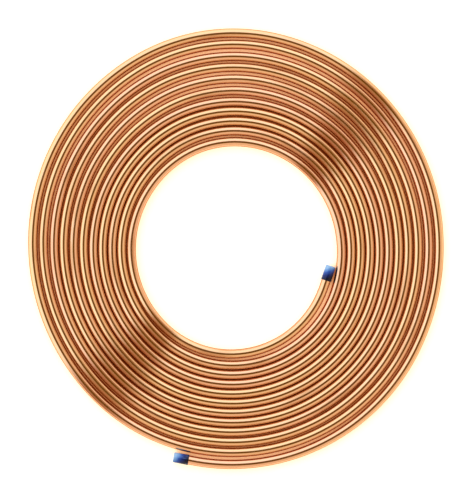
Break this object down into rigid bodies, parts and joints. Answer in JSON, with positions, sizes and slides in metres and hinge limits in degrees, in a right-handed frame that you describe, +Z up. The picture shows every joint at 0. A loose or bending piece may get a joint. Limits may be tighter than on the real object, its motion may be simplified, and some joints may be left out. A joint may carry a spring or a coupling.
{
  "type": "copper tube coil",
  "caption": "Soft copper tube wound flat into a single-layer spiral coil with an open eye, both ends closed by push-on plastic caps.",
  "frame": {"origin": "on the floor under the middle of the coil as it lies flat, which is the centre of its outline", "axes": "+Z is up, along the axis of the winding; +X is to the right and +Y towards the top as the picture shows the coil from above; the tube winds outwards clockwise seen from +Z"},
  "size_m": [0.5757, 0.6102, 0.0154],
  "materials": {
    "copper": "gloss",
    "cap": "satin"
  },
  "bodies": {
    "root": {"copper_tube": "copper", "inner_end_cap": "cap", "outer_end_cap": "cap"}
  },
  "joints": []
}
